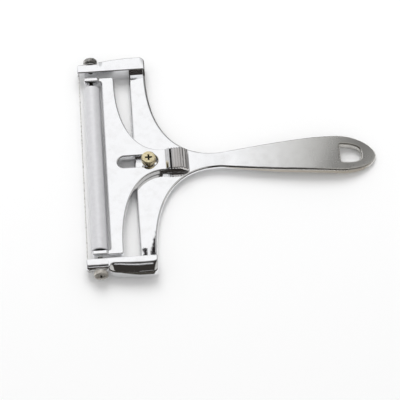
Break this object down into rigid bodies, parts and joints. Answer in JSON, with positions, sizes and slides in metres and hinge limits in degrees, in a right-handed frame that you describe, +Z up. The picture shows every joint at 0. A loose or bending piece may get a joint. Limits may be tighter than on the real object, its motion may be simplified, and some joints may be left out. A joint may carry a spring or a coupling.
{
  "type": "adjustable wire cheese planer with roller",
  "caption": "Hand-held cheese planer: a cast frame with a flat handle holds a taut cutting wire, and a sliding carriage with a roller, locked by a screw, sets the slice.",
  "frame": {"origin": "centre of the bounding box at the surface that the planer rests on", "axes": "+X from the cutting wire towards the end of the handle, +Y to the right of whoever holds the handle, +Z up"},
  "size_m": [0.1608, 0.134, 0.0117],
  "materials": {
    "cast_chrome": "polished, chrome plated die casting",
    "steel": "bright drawn and turned",
    "roller_aluminium": "satin anodised",
    "bush_plastic": "matte moulded",
    "screw_brass": "turned"
  },
  "bodies": {
    "frame": {"frame_with_handle": "cast_chrome", "cutting_wire": "steel"},
    "carriage": {"roller_carriage": "cast_chrome", "roller_axle": "steel"},
    "roller": {"roller_tube": "roller_aluminium", "roller_bush_right": "bush_plastic", "roller_bush_left": "bush_plastic"},
    "lock_washer": {"lock_washer": "screw_brass"},
    "lock_screw": {"lock_screw": "screw_brass"},
    "wire_screw_right": {"wire_screw_right": "steel"},
    "wire_screw_left": {"wire_screw_left": "steel"}
  },
  "joints": [
    {"name": "carriage_slide", "type": "slide", "parent": "frame", "child": "carriage", "axis": [0.9992, 0, 0.0396], "range_m": [-0.0013, 0.0132]},
    {"name": "roller_spin", "type": "hinge", "parent": "carriage", "child": "roller", "pos_m": [-0.07298, 0, 0.0045], "axis": [0, 1, 0], "continuous": true},
    {"name": "lock_screw_turn", "type": "hinge", "parent": "frame", "child": "lock_washer", "pos_m": [-0.04434, 0, 0.00899], "axis": [-0.0396, 0, 0.9992], "range_deg": [0, 360]},
    {"name": "lock_screw_lift", "type": "slide", "parent": "lock_washer", "child": "lock_screw", "axis": [-0.0396, 0, 0.9992], "range_m": [0, 0.0007]},
    {"name": "wire_screw_right_turn", "type": "hinge", "parent": "frame", "child": "wire_screw_right", "pos_m": [-0.07294, 0.0644, 0.006], "axis": [0, 1, 0], "range_deg": [0, 180]},
    {"name": "wire_screw_left_turn", "type": "hinge", "parent": "frame", "child": "wire_screw_left", "pos_m": [-0.07294, -0.0644, 0.006], "axis": [0, -1, 0], "range_deg": [0, 180]}
  ],
  "couplings": [
    {"joint": "lock_screw_turn", "follows": "lock_screw_lift", "rad_per_m": 8976}
  ]
}
